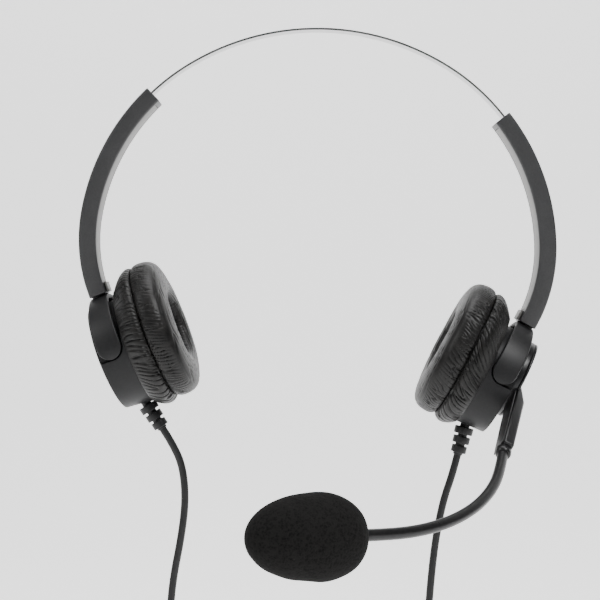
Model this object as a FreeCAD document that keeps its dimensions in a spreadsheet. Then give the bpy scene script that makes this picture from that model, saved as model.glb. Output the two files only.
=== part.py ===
import FreeCAD, Part
import Sketcher
import math
import os
import re
from FreeCAD import Placement, Rotation, Vector

# Binaural office headset: a sprung steel head strip, two arms that slide along it,
# a swivelling fork and a tilting ear cup on each arm, and a microphone boom on the
# left cup.  Millimetres, +Z up, +X to the wearer's left, -Y in front of the face.
# The origin is the middle of the strip's underside, where it rests on the head.

DIMS = {
    # head strip: a crown arc, then a tighter side arc each way, measured to its inner face
    "stripWide": 6.0, "stripThick": 0.8, "crownRadius": 98.04, "sideRadius": 85.7,
    "spliceAngle": 32.15, "stripEndAngle": 74.0,
    "stopWide": 8.4, "stopThick": 0.8, "stopSweep": 3.0,
    # arm: its angles are measured from straight up, towards the outside of the head
    "armOuter": 88.2, "armThick": 6.9, "armDeep": 13.0, "armWall": 1.2, "armSide": 1.3,
    "armTopAngle": 43.5, "armTurnAngle": 80.1, "armLowOuter": 64.4, "armEndAngle": 111.4,
    "armCapSweep": 1.5, "armFootSweep": 4.7, "slotWide": 6.8, "slotGap": 0.4,
    "coverGap": 0.1, "guideStart": 46.5, "guideSweep": 5.5, "armSlideLeft": 8.5,
    # swivel: a pin that stands on the fork and turns in the arm's foot
    "pinRadius": 1.1, "pinBore": 1.15, "pinAboveFoot": 1.3,
    "clipRadius": 1.7, "clipThick": 0.5, "clipGap": 0.3, "swivelRest": -2.5,
    # fork, measured from the tilt pins' axis
    "forkEndRadius": 4.8, "forkInner": 21.3, "forkOuter": 23.4, "forkTop": 20.8,
    "forkGap": 0.27, "forkShoulder": 16.5, "forkBackHigh": 4.4, "forkBackTop": 3.4,
    "forkFrontTop": 3.4, "forkFrontBow": 120.0,
    "tiltPinRadius": 1.25, "tiltBore": 1.3, "tiltPinInner": 16.8, "tiltPinOuter": 22.3,
    # cup: distances outward from the seam of the ear pad, radii about the shell's axis
    "pivotOut": 15.3, "shellDrop": 2.6, "shellFront": 2.0, "shellFrontRadius": 23.7,
    "shellEdge": 20.7, "shellEdgeRadius": 22.2, "shellApex": 23.7,
    "cavityBack": 19.2, "cavityRadius": 18.4, "cavityFrontRadius": 20.6, "cavityStep": 9.4,
    "forkFloor": 20.0, "forkSpan": 5.15, "fanFlare": 3.0, "fanHigh": 24.0,
    "bossRadius": 3.0, "bossOut": 20.2, "fanReach": 8.0,
    "baffleRadius": 25.2, "baffleDrop": 0.6, "baffleHole": 11.8,
    "flangeRadius": 13.8, "basketRadius": 12.6, "basketBack": 6.4, "magnetRadius": 8.0,
    "magnetBack": 9.4, "coneRadius": 11.6, "coneThick": 0.4,
    "postCircle": 16.6, "postRadius": 2.1, "screwRadius": 1.1, "screwLong": 8.0,
    # ear pad: a stuffed ring in front of the seam and a skirt drawn over the cup behind it
    "padRadius": 27.4, "padThick": 10.4, "padHole": 12.6, "padCrown": 6.0, "padLip": 3.5,
    "skirtRadius": 27.9, "skirtInner": 26.7, "skirtBack": 8.6, "skirtBackRadius": 24.1,
    "skirtBackInner": 23.2, "screenThick": 0.8,
    # cable sleeve at the foot of each cup
    "sleeveOut": 13.3, "sleeveWallRadius": 22.4, "sleeveStand": 1.5, "sleeveRoot": 3.0,
    "sleeveNeck": 1.9, "sleeveBore": 2.05, "ringLong": 2.8, "ringGap": 1.0,
    "ringFirst": 3.7, "ringStep": 0.35, "sleeveTip": 0.9,
    # boom
    "rotorOut": 21.0, "rotorRadius": 16.0, "rotorThick": 2.2, "coverHigh": 2.4,
    "coverRim": 1.0, "holderStart": 10.0, "holderLong": 54.2,
    "holderHalf": 4.7, "holderTipHalf": 3.9, "holderBack": 1.3, "holderTipBack": 1.7,
    "holderFront": 6.4, "holderRamp": 12.0,
    "pivotScrewRadius": 1.5, "pivotBore": 1.56, "pivotHead": 4.4, "pivotHeadThick": 1.0,
    "pivotPocket": 5.0, "boomRest": 61.0, "ferruleRadius": 2.9, "ferruleLong": 3.0,
    "boomOffset": 4.0, "neckRadius": 1.95,
    "micRadius": 4.6, "micLong": 17.0, "capsuleRadius": 3.0, "capsuleLong": 2.2,
    "foamMouth": 1.2, "foamMouthRadius": 4.6, "foamMiddle": 17.0, "foamRadius": 12.9,
    "foamMouthBow": 28.0, "foamBow": 24.0, "foamShoulder": 33.0, "foamShoulderRadius": 8.2,
    "foamTip": 37.8,
    # cords
    "cableRadius": 1.5, "trunkRadius": 1.8, "coilRadius": 20.0, "coilBundle": 5.8,
    "tieLong": 6.0, "tieThick": 0.8, "tieGap": 0.3,
    "jointLong": 18.0, "jointRadius": 5.2, "jointTip": 2.8,
    "plugWide": 7.65, "plugHigh": 6.6, "plugLong": 11.7, "contactWide": 0.5,
    "contactPitch": 1.02, "contactLong": 4.2, "contactHigh": 0.4,
}

# How far each cup is tipped on its pins, and its cable sleeve leant, when nobody wears it
CUP_TIP = {"right": -1.4, "left": -2.4}
SLEEVE_LEAN = {"right": 13.0, "left": -13.0}

doc = FreeCAD.newDocument("office_headset")
sheet = doc.addObject("Spreadsheet::Sheet", "dims")
for row, (alias, value) in enumerate(DIMS.items(), start=1):
    sheet.set("A%d" % row, alias)
    sheet.set("B%d" % row, str(value))
    sheet.setAlias("B%d" % row, alias)
doc.recompute()

dim = {alias: float(sheet.get(alias)) for alias in DIMS}
X, Y, Z = Vector(1, 0, 0), Vector(0, 1, 0), Vector(0, 0, 1)


# --- sums of the sheet's names, such as "shellEdge - forkSpan" or "0.5*armDeep" ---

def bound(text):
    """The sum as an expression on the sheet."""
    return re.sub(r"[A-Za-z]\w*", lambda name: "dims." + name.group(), str(text))


def worth(text):
    """The sum's present value."""
    total = 0.0
    for sign, term in re.findall(r"([-+]?)\s*([^-+\s]+)", str(text)):
        value = 1.0
        for factor in term.split("*"):
            value *= dim[factor] if factor in dim else float(factor)
        total += -value if sign == "-" else value
    return total


# --- building blocks ---

def origin_plane(body, role):
    return [part for part in body.Origin.OriginFeatures if part.Role == role][0]


def arc_between(start, end, radius, side):
    """A short arc bulging to the left (1) or right (-1) of its travel, of the given radius,
    or, for radius None, centred on the X axis, which its end touches."""
    chord = end - start
    if radius is None:
        radius = chord.Length ** 2 / (2 * abs(chord.x))
    sagitta = radius - math.sqrt(radius ** 2 - chord.Length ** 2 / 4)
    across = Vector(-chord.y, chord.x, 0).normalize()
    return Part.Arc(start, (start + end) / 2 + across * sagitta * side, end)


def outline(body, role, corners):
    """A closed sketch whose corners (x, y) are sums; (x, y, radius, side) ends an arc, and
    the radius None is for an arc centred on the X axis."""
    sketch = body.newObject("Sketcher::SketchObject", body.Label + "_outline")
    sketch.AttachmentSupport = [(origin_plane(body, role), "")]
    sketch.MapMode = "FlatFace"
    places = [Vector(worth(corner[0]), worth(corner[1]), 0) for corner in corners]
    count = len(corners)
    for index in range(count):
        start, end = places[index], places[(index + 1) % count]
        ahead = corners[(index + 1) % count]
        if len(ahead) == 4:
            radius = ahead[2] and worth(ahead[2])
            sketch.addGeometry(arc_between(start, end, radius, ahead[3]))
        else:
            sketch.addGeometry(Part.LineSegment(start, end))

    def tip(edge, place):
        return 1 if (sketch.getPoint(edge, 1) - place).Length < 1e-6 else 2

    for index in range(count):
        ahead = (index + 1) % count
        sketch.addConstraint(Sketcher.Constraint("Coincident", index, tip(index, places[ahead]),
                                                 ahead, tip(ahead, places[ahead])))
        if len(corners[ahead]) < 4:
            continue
        radius = corners[ahead][2]
        if radius is None:
            sketch.addConstraint(Sketcher.Constraint("PointOnObject", index, 3, -1))
            continue
        rule = Sketcher.Constraint("Radius", index, worth(radius))
        sketch.setExpression("Constraints[%d]" % sketch.addConstraint(rule), bound(radius))
    for index, corner in enumerate(corners):
        here = tip(index, places[index])
        for way, axis, value in (("DistanceX", -2, corner[0]), ("DistanceY", -1, corner[1])):
            if value == "0":
                sketch.addConstraint(Sketcher.Constraint("PointOnObject", index, here, axis))
                continue
            rule = Sketcher.Constraint(way, -1, 1, index, here, worth(value))
            sketch.setExpression("Constraints[%d]" % sketch.addConstraint(rule), bound(value))
    return sketch


def turned(label, corners, place=Placement()):
    """A solid of revolution about local X; its corners are (distance along X, radius)."""
    body = doc.addObject("PartDesign::Body", label)
    sketch = outline(body, "XY_Plane", corners)
    spin = body.newObject("PartDesign::Revolution", label + "_spin")
    spin.Profile = sketch
    spin.ReferenceAxis = (sketch, ["H_Axis"])
    spin.Angle = 360
    body.Placement = place
    return body


def slab(label, role, corners, thick, place=Placement(), middle=True):
    """An outline padded by a sum, both ways from its plane or one way."""
    body = doc.addObject("PartDesign::Body", label)
    sketch = outline(body, role, corners)
    pad = body.newObject("PartDesign::Pad", label + "_pad")
    pad.Profile = sketch
    pad.setExpression("Length", bound(thick))
    pad.Midplane = middle
    body.Placement = place
    return body


def rod(label, radius, length, start, way, sweep=None):
    """A cylinder from a start point along a direction; sweep makes it a sector."""
    solid = doc.addObject("Part::Cylinder", label)
    solid.setExpression("Radius", bound(radius))
    solid.setExpression("Height", bound(length))
    if sweep is not None:
        solid.setExpression("Angle", bound(sweep))
    solid.Placement = way if isinstance(way, Placement) else Placement(start, Rotation(Z, way))
    return solid


def cut(label, base, tool, place=Placement()):
    solid = doc.addObject("Part::Cut", label)
    solid.Base, solid.Tool = base, tool
    solid.Placement = place
    return solid


def fuse(label, solids, place=Placement()):
    solid = doc.addObject("Part::MultiFuse", label)
    solid.Shapes = solids
    solid.Refine = True
    solid.Placement = place
    return solid


def common(label, solids, place=Placement()):
    solid = doc.addObject("Part::MultiCommon", label)
    solid.Shapes = solids
    solid.Placement = place
    return solid


def arc_band(label, centre, outer, inner, start, sweep, wide, place=Placement()):
    """A curved bar round a centre in the XZ plane; angles run from straight up to +X."""
    angle = math.radians(worth(start))
    radial = Vector(math.sin(angle), 0, math.cos(angle))
    along = Vector(math.cos(angle), 0, -math.sin(angle))
    frame = Placement(centre - Y * worth(wide) / 2, Rotation(radial, along, Y, "XZY"))
    disc = rod(label + "_disc", outer, wide, None, frame, sweep)
    core = rod(label + "_core", inner, wide, None, frame, sweep)
    return cut(label, disc, core, place)


def route_wire(points):
    """Straight runs joined by tangent arcs, each as large as its two runs allow."""
    edges, radii, here = [], [], points[0]
    for before, corner, after in zip(points, points[1:], points[2:]):
        back, ahead = before - corner, after - corner
        turn = math.pi - back.getAngle(ahead)
        reach = 0.45 * min(back.Length, ahead.Length)
        radii.append(reach / math.tan(turn / 2))
        first, last = corner + back.normalize() * reach, corner + ahead.normalize() * reach
        inward = (back + ahead).normalize()
        middle = corner + inward * (math.hypot(reach, radii[-1]) - radii[-1])
        edges.append(Part.LineSegment(here, first).toShape())
        edges.append(Part.Arc(first, middle, last).toShape())
        here = last
    edges.append(Part.LineSegment(here, points[-1]).toShape())
    return Part.Wire(edges), radii


def tube(label, points, radius, place=Placement()):
    """A round tube along a route, with its arcs' radii and its volume compared."""
    wire, radii = route_wire(points)
    ring = Part.Wire(Part.Circle(points[0], points[1] - points[0], worth(radius)).toShape())
    solid = doc.addObject("Part::Feature", label)
    solid.Shape = wire.makePipeShell([ring], True, False)
    solid.Placement = place
    expected = math.pi * worth(radius) ** 2 * wire.Length
    bends = " ".join("%.0f" % bend for bend in radii)
    print("%s: length %.1f, radii %s, volume %.0f against %.0f"
          % (label, wire.Length, bends, solid.Shape.Volume, expected))
    return solid


# --- places: where each piece's own frame stands in the headset's frame ---

def about(point, axis, angle):
    return Placement(point, Rotation(axis, angle)) * Placement(-point, Rotation())


def on_circle(centre, radius, angle):
    return centre + Vector(math.sin(math.radians(angle)), 0, math.cos(math.radians(angle))) * radius


crown_centre = Z * -dim["crownRadius"]
side_centre = on_circle(crown_centre, dim["crownRadius"] - dim["sideRadius"], dim["spliceAngle"])
low_centre = on_circle(side_centre, dim["armOuter"] - dim["armLowOuter"], dim["armTurnAngle"])
foot = on_circle(low_centre, dim["armLowOuter"] - dim["armThick"] / 2, dim["armEndAngle"])
foot_lean = dim["armEndAngle"] - 90
fork_turn = Rotation(Y, foot_lean)
pivot = foot - fork_turn.multVec(Z) * (dim["forkTop"] + dim["forkGap"])

SIDES = {
    "right": Placement(Vector(), Rotation(Z, 180)),
    "left": Placement(),
}
SLIDE = {"right": 0.0, "left": dim["armSlideLeft"]}
arm_place, fork_place, cup_place, sleeve_place = {}, {}, {}, {}
for side, mirror in SIDES.items():
    arm_place[side] = mirror * about(side_centre, Y, SLIDE[side])
    yaw = Placement(Vector(), Rotation(Z, dim["swivelRest"]))
    fork_place[side] = arm_place[side] * Placement(pivot, fork_turn) * yaw
    tip = Placement(Vector(), Rotation(Y, CUP_TIP[side]))
    cup_place[side] = fork_place[side] * tip * Placement(Vector(-dim["pivotOut"], 0, 0), Rotation())
    root = Vector(dim["sleeveOut"], 0, -dim["shellDrop"] - dim["sleeveWallRadius"])
    sleeve_place[side] = cup_place[side] * Placement(root, Rotation(Y, 90 + SLEEVE_LEAN[side]))
boom_place = (cup_place["left"] * Placement(Vector(dim["rotorOut"], 0, 0), Rotation())
              * Placement(Vector(), Rotation(X, -dim["boomRest"])))

nodes = []


def node(solid):
    nodes.append(solid)
    return solid


# --- head strip ---

def head_strip():
    bands = [arc_band("strip_crown", crown_centre, "crownRadius + stripThick", "crownRadius",
                      "0 - spliceAngle", "2*spliceAngle", "stripWide")]
    for side, mirror in SIDES.items():
        bands.append(arc_band("strip_" + side, side_centre, "sideRadius + stripThick", "sideRadius",
                              "spliceAngle", "stripEndAngle - spliceAngle", "stripWide", mirror))
        node(arc_band("strip_stop_" + side, side_centre, "sideRadius", "sideRadius - stopThick",
                      "stripEndAngle - stopSweep", "stopSweep", "stopWide", mirror))
    node(fuse("head_strip", bands))


# --- arm: an open channel, its cover on the head side and a guide for the strip ---

def arm(side):
    place = arm_place[side]
    name = "arm_" + side
    body = fuse(name + "_bar", [
        arc_band(name + "_high", side_centre, "armOuter", "armOuter - armThick",
                 "armTopAngle", "armTurnAngle - armTopAngle", "armDeep"),
        arc_band(name + "_low", low_centre, "armLowOuter", "armLowOuter - armThick",
                 "armTurnAngle", "armEndAngle - armTurnAngle", "armDeep")])
    hollow_deep = "armDeep - 2*armSide"
    hollow = fuse(name + "_hollow", [
        arc_band(name + "_hollow_high", side_centre, "armOuter - armWall",
                 "armOuter - armThick - 0.5", "armTopAngle + armCapSweep",
                 "armTurnAngle - armTopAngle - armCapSweep", hollow_deep),
        arc_band(name + "_hollow_low", low_centre, "armLowOuter - armWall",
                 "armLowOuter - armThick - 0.5", "armTurnAngle",
                 "armEndAngle - armFootSweep - armTurnAngle", hollow_deep),
        arc_band(name + "_slot", side_centre, "sideRadius + stripThick + slotGap",
                 "sideRadius - slotGap", "armTopAngle - 1", "armCapSweep + 2", "slotWide"),
        rod(name + "_bore", "pinBore", "3*armFootSweep", foot - fork_turn.multVec(Z) * 2,
            fork_turn.multVec(Z))])
    node(cut("arm_shell_" + side, body, hollow, place))

    cover_deep = "armDeep - 2*armSide - 2*coverGap"
    node(fuse("arm_cover_" + side, [
        arc_band(name + "_cover_high", side_centre, "armOuter - armThick + armWall",
                 "armOuter - armThick", "armTopAngle + armCapSweep + 0.1",
                 "armTurnAngle - armTopAngle - armCapSweep - 0.1", cover_deep),
        arc_band(name + "_cover_low", low_centre, "armLowOuter - armThick + armWall",
                 "armLowOuter - armThick", "armTurnAngle",
                 "armEndAngle - armFootSweep - armTurnAngle - 0.1", cover_deep)], place))

    block = arc_band(name + "_guide_block", side_centre, "armOuter - armWall",
                     "armOuter - armThick + armWall", "guideStart", "guideSweep", cover_deep)
    groove = arc_band(name + "_guide_groove", side_centre, "armOuter", "sideRadius - slotGap",
                      "guideStart - 1", "guideSweep + 2", "slotWide")
    node(cut("strip_guide_" + side, block, groove, place))


# --- fork: a U over the cup's shell, its swivel pin with a clip, and the tilt pins ---

def fork(side):
    place = fork_place[side]
    name = "fork_" + side
    blank = slab(name + "_blank", "XZ_Plane", [
        ("0 - forkEndRadius", "0"),
        ("0", "0 - forkEndRadius", "forkEndRadius", -1),
        ("forkEndRadius", "0", "forkEndRadius", -1),
        ("forkFrontTop", "forkTop", "forkFrontBow", -1),
        ("0 - forkBackTop", "forkTop"),
        ("0 - forkBackHigh", "forkShoulder")], "3*forkInner")
    centre = Vector(-15, 0, -dim["shellDrop"])
    ring = cut(name + "_ring", rod(name + "_outer", "forkOuter", "30", centre, X),
               rod(name + "_inner", "forkInner", "30", centre, X))
    band = common(name + "_band", [blank, ring])
    pin_foot = Z * (dim["forkInner"] - dim["shellDrop"] - 1)
    holes = [rod(name + "_pin_hole", "pinRadius", "5", pin_foot, Z)]
    pins = []
    for sign in (-1, 1):
        start = Y * sign * dim["tiltPinInner"]
        length = "tiltPinOuter - tiltPinInner"
        holes.append(rod(name + "_hole%d" % sign, "tiltPinRadius", length, start, Y * sign))
        pins.append(rod(name + "_pin%d" % sign, "tiltPinRadius", length, start, Y * sign))
    node(cut("fork_" + side, band, fuse(name + "_holes", holes), place))
    pair = doc.addObject("Part::Compound", "tilt_pins_" + side)
    pair.Links = pins
    pair.Placement = place
    node(pair)

    pin_base = dim["forkInner"] - dim["shellDrop"] + 0.2
    foot_high = math.radians(dim["armFootSweep"]) * (dim["armLowOuter"] - dim["armThick"] / 2)
    foot_top = dim["forkTop"] + dim["forkGap"] + foot_high
    pin = rod("swivel_pin_" + side, "pinRadius", "%.3f + pinAboveFoot" % (foot_top - pin_base), None,
              place * Placement(Z * pin_base, Rotation()))
    node(pin)
    clip_base = Z * (foot_top + dim["clipGap"])
    node(cut("swivel_clip_" + side, rod(name + "_clip_disc", "clipRadius", "clipThick", clip_base, Z),
             rod(name + "_clip_hole", "pinRadius", "clipThick", clip_base, Z), place))


# --- ear cup ---

def cup_shell(side):
    name = "shell_" + side
    axis = Placement(Z * -dim["shellDrop"], Rotation())
    pin_line = X * dim["pivotOut"]
    back = {"right": ("shellApex", "0", None, 1), "left": ("shellEdge", "0")}[side]
    outside = turned(name + "_outside", [
        ("shellFront", "0"), ("shellFront", "shellFrontRadius"),
        ("shellEdge", "shellEdgeRadius"), back], axis)
    fan = slab(name + "_fan", "XZ_Plane", [
        ("pivotOut - forkSpan", "0"),
        ("pivotOut", "0 - forkSpan", "forkSpan", -1),
        ("pivotOut + fanReach", "0 - forkSpan"),
        ("pivotOut + fanReach", "fanHigh"),
        ("pivotOut - forkSpan - fanFlare", "fanHigh")], "3*forkFloor")
    floor = rod(name + "_floor", "forkFloor", "2*shellApex", Z * -dim["shellDrop"], X)
    recess = cut(name + "_recess", fan, floor)
    cavity = turned(name + "_cavity", [
        ("shellFront - 1", "0"), ("shellFront - 1", "cavityFrontRadius"),
        ("cavityStep", "cavityFrontRadius"), ("cavityStep", "cavityRadius"),
        ("cavityBack", "cavityRadius"), ("cavityBack", "0")], axis)
    wall = cut(name + "_wall", cut(name + "_outer", outside, recess), cavity)
    additions, holes = [wall], [
        rod(name + "_pin_bore", "tiltBore", "3*forkFloor", pin_line - Y * 1.5 * dim["forkFloor"], Y),
        rod(name + "_cable_bore", "sleeveBore", "3*sleeveRoot", None,
            cup_place[side].inverse() * sleeve_place[side]
            * Placement(X * -2 * dim["sleeveRoot"], Rotation(Y, 90)))]
    for sign in (-1, 1):
        additions.append(rod(name + "_boss%d" % sign, "bossRadius", "bossOut - tiltPinInner",
                             pin_line + Y * sign * dim["tiltPinInner"], Y * sign))
    for angle in (90, 210, 330):
        ray = Rotation(X, angle).multVec(Y) * dim["postCircle"]
        post = Vector(dim["shellFront"], 0, -dim["shellDrop"]) + ray
        additions.append(rod(name + "_post%d" % angle, "postRadius",
                             "cavityBack - shellFront + 0.2", post, X))
        holes.append(rod(name + "_post_hole%d" % angle, "screwRadius", "screwLong", post, X))
    if side == "left":
        holes.append(rod(name + "_screw_hole", "pivotScrewRadius", "8", X * 17, X))
    solid = fuse(name + "_whole", additions)
    node(cut("cup_shell_" + side, solid, fuse(name + "_holes", holes), cup_place[side]))


def speaker(side):
    shell_axis = cup_place[side] * Placement(Z * -dim["shellDrop"], Rotation())
    plate = turned("baffle_%s_plate" % side, [
        ("0", "baffleHole"), ("0", "baffleRadius"),
        ("shellFront", "baffleRadius"), ("shellFront", "baffleHole")],
        Placement(Z * -dim["baffleDrop"], Rotation()))
    holes, screws = [], []
    for angle in (90, 210, 330):
        place = Z * -dim["shellDrop"] + Rotation(X, angle).multVec(Y) * dim["postCircle"]
        holes.append(rod("baffle_%s_hole%d" % (side, angle), "screwRadius", "shellFront", place, X))
        screws.append(rod("cup_%s_screw%d" % (side, angle), "screwRadius",
                          "shellFront + screwLong", place, X))
    node(cut("baffle_" + side, plate, fuse("baffle_%s_holes" % side, holes), cup_place[side]))
    group = doc.addObject("Part::Compound", "cup_screws_" + side)
    group.Links = screws
    group.Placement = cup_place[side]
    node(group)
    node(turned("speaker_frame_" + side, [
        ("shellFront", "coneRadius + 0.6"), ("shellFront", "flangeRadius"),
        ("shellFront + 1", "flangeRadius"), ("shellFront + 1", "basketRadius"),
        ("basketBack", "basketRadius - 2"), ("basketBack", "0.5*magnetRadius"),
        ("basketBack - 0.8", "0.5*magnetRadius"), ("basketBack - 0.8", "basketRadius - 3"),
        ("shellFront + 1.2", "coneRadius")], shell_axis))
    node(turned("speaker_magnet_" + side, [
        ("basketBack", "0"), ("basketBack", "magnetRadius"),
        ("magnetBack", "magnetRadius"), ("magnetBack", "0")], shell_axis))
    node(turned("speaker_cone_" + side, [
        ("shellFront + 2.2", "0"), ("shellFront + 0.4", "coneRadius - 0.3"),
        ("shellFront + 0.4 + coneThick", "coneRadius - 0.3"),
        ("shellFront + 2.2 + coneThick", "0")], shell_axis))


def disc_wire(label, radius, out, drop):
    ring = doc.addObject("Part::Circle", label)
    ring.setExpression("Radius", bound(radius))
    ring.Placement = Placement(Vector(worth(out), 0, -worth(drop)), Rotation(Z, X))
    return ring


def skirt_cone(label, front, back):
    cone = doc.addObject("Part::Loft", label)
    cone.Sections = [disc_wire(label + "_front", front, "0", "0"),
                     disc_wire(label + "_back", back, "skirtBack", "shellDrop")]
    cone.Solid = True
    cone.Ruled = True
    return cone


def ear_pad(side):
    name = "pad_" + side
    ring = turned(name + "_ring", [
        ("0", "padHole"), ("0", "padRadius"), ("padCrown - padThick", "padRadius"),
        ("0 - padThick", "padRadius - padCrown", "padCrown", 1),
        ("0 - padThick", "padHole + padLip"),
        ("padLip - padThick", "padHole", "padLip", 1)])
    skirt = cut(name + "_skirt", skirt_cone(name + "_cone", "skirtRadius", "skirtBackRadius"),
                skirt_cone(name + "_void", "skirtInner", "skirtBackInner"))
    node(fuse("ear_pad_" + side, [ring, skirt], cup_place[side]))
    node(rod("ear_screen_" + side, "padHole", "screenThick", None,
             cup_place[side] * Placement(X * -dim["screenThick"], Rotation(Z, X))))


def cable_sleeve(side):
    """Three rings on a soft neck, which let the cable bend as it leaves the cup."""
    corners = [("0 - sleeveRoot", "0"), ("0 - sleeveRoot", "sleeveNeck")]
    reach = "sleeveStand"
    for index in range(3):
        radius = "ringFirst - %d*ringStep" % index
        corners += [(reach, "sleeveNeck"), (reach, radius),
                    (reach + " + ringLong", radius), (reach + " + ringLong", "sleeveNeck")]
        reach += " + ringLong + ringGap"
    end = "sleeveStand + 3*ringLong + 2*ringGap + sleeveTip"
    corners += [(end, "sleeveNeck"), (end, "0")]
    node(turned("cable_sleeve_" + side, corners, sleeve_place[side]))
    return sleeve_place[side].multVec(X * worth(end)), sleeve_place[side].Rotation.multVec(X)


# --- microphone boom, in a frame whose X is the rotor's axis and whose -Z runs along it ---

def boom():
    place = boom_place
    disc = turned("rotor_disc", [
        ("0", "pivotBore"), ("0", "rotorRadius"), ("rotorThick", "rotorRadius"),
        ("rotorThick", "pivotBore")])
    bar = slab("holder_bar", "YZ_Plane", [
        ("0 - holderHalf", "0 - holderStart"), ("0 - holderTipHalf", "0 - holderLong"),
        ("holderTipHalf", "0 - holderLong"), ("holderHalf", "0 - holderStart")], "4*holderFront")
    wedge = slab("holder_wedge", "XZ_Plane", [
        ("holderBack", "0 - holderStart"), ("holderTipBack", "0 - holderLong"),
        ("rotorThick", "0 - holderLong"), ("rotorThick", "0 - holderStart")], "4*holderHalf")
    node(fuse("boom_rotor", [disc, common("holder_lower", [bar, wedge])], place))
    dome = turned("rotor_dome", [
        ("rotorThick", "0"), ("rotorThick", "rotorRadius"),
        ("rotorThick + coverRim", "rotorRadius"),
        ("rotorThick + coverHigh", "0", None, 1)])
    front = slab("holder_front", "XZ_Plane", [
        ("rotorThick", "0 - holderStart"), ("rotorThick", "0 - holderLong"),
        ("holderFront", "0 - holderLong"), ("holderFront", "0 - holderStart - holderRamp"),
        ("rotorThick + coverRim", "0 - holderStart")], "4*holderHalf")
    upper = common("holder_upper", [bar, front])
    pocket = rod("rotor_pocket", "pivotPocket", "pivotHeadThick + 0.4", X * dim["rotorThick"], X)
    node(cut("boom_cover", fuse("cover_whole", [dome, upper]), pocket, place))
    screw_place = cup_place["left"] * Placement(X * dim["rotorOut"], Rotation())
    node(turned("boom_screw", [
        ("0 - 5", "0"), ("0 - 5", "pivotScrewRadius"), ("rotorThick + 0.1", "pivotScrewRadius"),
        ("rotorThick + 0.1", "pivotHead"), ("rotorThick + 0.1 + pivotHeadThick", "pivotHead"),
        ("rotorThick + 0.1 + pivotHeadThick", "0")], screw_place))
    node(rod("boom_ferrule", "ferruleRadius", "ferruleLong", None,
             place * Placement(Vector(dim["boomOffset"], 0, -dim["holderLong"]), Rotation(Z, -Z))))

    # the gooseneck's route: outward from the cup, and how far from the rotor's centre
    start = dim["holderLong"] + dim["ferruleLong"]
    route = [(dim["boomOffset"], start), (4.4, 67.5), (3.4, 81.0), (-0.8, 96.4), (-8.0, 111.3),
             (-17.3, 124.3), (-27.6, 134.7), (-35.4, 141.6)]
    points = [Vector(out, 0, -away) for out, away in route]
    node(tube("gooseneck", points, "neckRadius", place))
    way = (points[-1] - points[-2]).normalize()
    mic_place = place * Placement(points[-1], Rotation(X, way))
    node(turned("mic_housing", [
        ("0", "0"), ("0", "micRadius"), ("micLong", "micRadius"), ("micLong", "capsuleRadius"),
        ("micLong - capsuleLong", "capsuleRadius"), ("micLong - capsuleLong", "0")], mic_place))
    node(turned("mic_capsule", [
        ("micLong - capsuleLong", "0"), ("micLong - capsuleLong", "capsuleRadius"),
        ("micLong", "capsuleRadius"), ("micLong", "0")], mic_place))
    node(turned("foam_windscreen", [
        ("0 - foamMouth", "neckRadius + 0.1"), ("0 - foamMouth", "foamMouthRadius"),
        ("foamMiddle", "foamRadius", "foamMouthBow", 1),
        ("foamShoulder", "foamShoulderRadius", "foamBow", 1),
        ("foamTip", "0", None, 1), ("micLong", "0"), ("micLong", "micRadius"),
        ("0", "micRadius"), ("0", "neckRadius + 0.1")], mic_place))


# --- cords: a cable from each cup to a moulded joint, then one tied trunk and its plug ---

JOINT_TOP = Vector(-8, 0, -302)


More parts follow.
